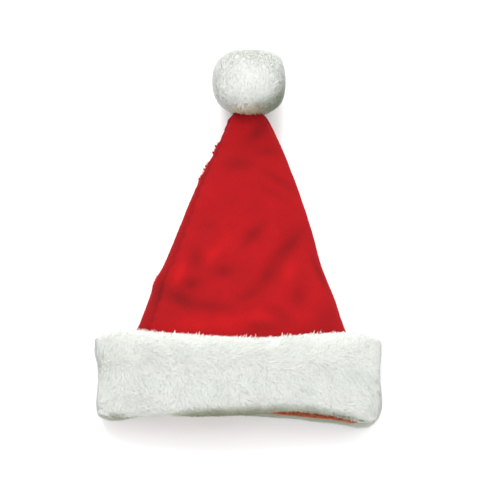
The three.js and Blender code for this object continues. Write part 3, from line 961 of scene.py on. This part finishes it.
def new_material(name, finish):
    """A material with a finish of the table, then its nodes, links and shader."""
    material = bpy.data.materials.new(name)
    material.use_nodes = True
    nodes = material.node_tree.nodes
    shader = nodes["Principled BSDF"]
    for key, value in FINISHES[finish].items():
        shader.inputs[key].default_value = value
    return material, nodes, material.node_tree.links, shader


def attribute_node(nodes, name):
    node = nodes.new("ShaderNodeAttribute")
    node.attribute_name = name
    return node


def grain_node(nodes, links, scale, detail, stretch=(1, 1, 1)):
    """Noise over the object's own coordinates."""
    coordinates = nodes.new("ShaderNodeTexCoord")
    mapping = nodes.new("ShaderNodeMapping")
    mapping.inputs["Scale"].default_value = stretch
    node = nodes.new("ShaderNodeTexNoise")
    node.inputs["Scale"].default_value = scale
    node.inputs["Detail"].default_value = detail
    links.new(coordinates.outputs["Object"], mapping.inputs["Vector"])
    links.new(mapping.outputs["Vector"], node.inputs["Vector"])
    return node


def scaled_sum(nodes, links, part, share, rest):
    """part times share, plus rest, which is an output or a number."""
    node = nodes.new("ShaderNodeMath")
    node.operation = "MULTIPLY_ADD"
    node.inputs[1].default_value = share
    links.new(part, node.inputs[0])
    if isinstance(rest, (int, float)):
        node.inputs[2].default_value = rest
    else:
        links.new(rest, node.inputs[2])
    return node.outputs[0]


def ramp(nodes, stops):
    node = nodes.new("ShaderNodeValToRGB")
    elements = node.color_ramp.elements
    while len(elements) < len(stops):
        elements.new(0.5)
    for element, (place, colour) in zip(elements, stops):
        element.position = place
        element.color = (*colour, 1)
    return node


def add_bump(nodes, links, shader, height, strength, distance):
    bump = nodes.new("ShaderNodeBump")
    bump.inputs["Strength"].default_value = strength
    bump.inputs["Distance"].default_value = distance
    links.new(height, bump.inputs["Height"])
    links.new(bump.outputs["Normal"], shader.inputs["Normal"])


def red_threads():
    material, nodes, links, shader = new_material("red_threads", "red_threads")
    depth = attribute_node(nodes, "depth")
    colours = ramp(nodes, COLOURS["red_threads"])
    links.new(depth.outputs["Fac"], colours.inputs["Fac"])
    links.new(colours.outputs["Color"], shader.inputs["Base Color"])
    let_light_through(nodes, links, shader, colours.outputs["Color"])
    return material


def red_plush():
    material, nodes, links, shader = new_material("red_plush", "red_plush")
    broad = grain_node(nodes, links, **GRAINS["broad"])
    plush = grain_node(nodes, links, **GRAINS["plush"])
    depth = attribute_node(nodes, "depth")
    tone = PLUSH_TONES["least"]
    for part, node in (("depth", depth), ("broad", broad), ("plush", plush)):
        tone = scaled_sum(nodes, links, node.outputs["Fac"], PLUSH_TONES[part], tone)
    colours = ramp(nodes, COLOURS["red_plush"])
    links.new(tone, colours.inputs["Fac"])
    links.new(colours.outputs["Color"], shader.inputs["Base Color"])
    add_bump(nodes, links, shader, plush.outputs["Fac"], **BUMPS["red_plush"])
    return material


def cloth_reverse():
    material, nodes, links, shader = new_material("cloth_reverse", "cloth_reverse")
    weave = grain_node(nodes, links, **GRAINS["weave"])
    colours = ramp(nodes, COLOURS["cloth_reverse"])
    links.new(weave.outputs["Fac"], colours.inputs["Fac"])
    links.new(colours.outputs["Color"], shader.inputs["Base Color"])
    add_bump(nodes, links, shader, weave.outputs["Fac"], **BUMPS["cloth_reverse"])
    return material


def tinted(nodes, links, colour):
    """The colour multiplied by the mesh's tint, which holds painted shade and painted bounce light
    besides random tones.
    """
    tint = attribute_node(nodes, "tint")
    mix = nodes.new("ShaderNodeMix")
    mix.data_type = "RGBA"
    mix.blend_type = "MULTIPLY"
    mix.inputs["Factor"].default_value = 1
    links.new(colour, mix.inputs["A"])
    links.new(tint.outputs["Color"], mix.inputs["B"])
    return mix.outputs["Result"]


def let_light_through(nodes, links, shader, colour):
    """Lets a share of the light pass through, so that a blade looks alike from both sides."""
    through = nodes.new("ShaderNodeBsdfTranslucent")
    links.new(colour, through.inputs["Color"])
    mix = nodes.new("ShaderNodeMixShader")
    mix.inputs["Fac"].default_value = LIGHT_THROUGH
    links.new(shader.outputs["BSDF"], mix.inputs[1])
    links.new(through.outputs["BSDF"], mix.inputs[2])
    links.new(mix.outputs["Shader"], nodes["Material Output"].inputs["Surface"])


def fur_material(node):
    material, nodes, links, shader = new_material(f"{node}_fur", "fur")
    tip = attribute_node(nodes, "tip")
    # darker towards the root: painted shade deep in the fur
    colours = ramp(nodes, COLOURS["fur"])
    links.new(tip.outputs["Fac"], colours.inputs["Fac"])
    colour = tinted(nodes, links, colours.outputs["Color"])
    links.new(colour, shader.inputs["Base Color"])
    let_light_through(nodes, links, shader, colour)
    return material


def base_material(node):
    material, nodes, links, shader = new_material(f"{node}_base", "base")
    grain = grain_node(nodes, links, **GRAINS["base"])
    colours = ramp(nodes, COLOURS["base"])
    links.new(grain.outputs["Fac"], colours.inputs["Fac"])
    links.new(tinted(nodes, links, colours.outputs["Color"]), shader.inputs["Base Color"])
    add_bump(nodes, links, shader, grain.outputs["Fac"], **BUMPS["base"])
    return material


# Stage


def make_stage():
    mesh = bpy.data.meshes.new("floor")
    reach = FLOOR_WIDTH / 2
    corners = [(-reach, -reach, 0), (reach, -reach, 0), (reach, reach, 0), (-reach, reach, 0)]
    mesh.from_pydata(corners, [], [(0, 1, 2, 3)])
    floor = add_piece("floor", mesh)
    mesh.materials.append(new_material("floor", "floor")[0])

    world = bpy.data.worlds.new("studio")
    world.use_nodes = True
    sky = world.node_tree.nodes["Background"]
    sky.inputs["Color"].default_value = SKY_COLOUR
    sky.inputs["Strength"].default_value = SKY_STRENGTH
    bpy.context.scene.world = world
    for row in LIGHTS:
        lamp = bpy.data.lights.new(row["name"], "AREA")
        lamp.energy = row["power"]
        lamp.size = row["size"]
        light = add_piece(row["name"], lamp)
        light.location = row["place"]
        light.rotation_euler = (-Vector(row["place"])).to_track_quat("-Z", "Y").to_euler()


def make_camera():
    data = bpy.data.cameras.new("camera")
    data.lens = CAMERA_LENS
    data.sensor_width = CAMERA_SENSOR
    camera = add_piece("camera", data)
    back = Vector((0, -math.cos(CAMERA_ELEVATION), math.sin(CAMERA_ELEVATION)))
    camera.location = VIEW_MIDDLE + back * (VIEW_WIDTH * CAMERA_LENS / CAMERA_SENSOR)
    camera.rotation_euler = (-back).to_track_quat("-Z", "Y").to_euler()
    bpy.context.scene.camera = camera
    bpy.context.scene.view_settings.view_transform = "Standard"


# Pieces


def place_on(node, pieces):
    for piece in pieces:
        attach(piece, "root")
        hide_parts(node)


def dress():
    crown = make_crown()
    fray = make_fray(crown)
    place_on("crown", (crown, fray))
    cuff = make_pile("cuff")
    pompom = make_pile("pompom")
    tufts = {"cuff": make_tufts("cuff_tufts", cuff), "pompom": make_whorl_tuft("pompom_tuft", pompom)}
    for pile in (cuff, pompom):
        count = pile.look["meshes"]
        furs = [make_fur(f"{pile.node}_fur_{index + 1}", pile) for index in range(count)]
        place_on(pile.node, (pile.base, *furs, tufts[pile.node]))


make_camera()
make_stage()
dress()
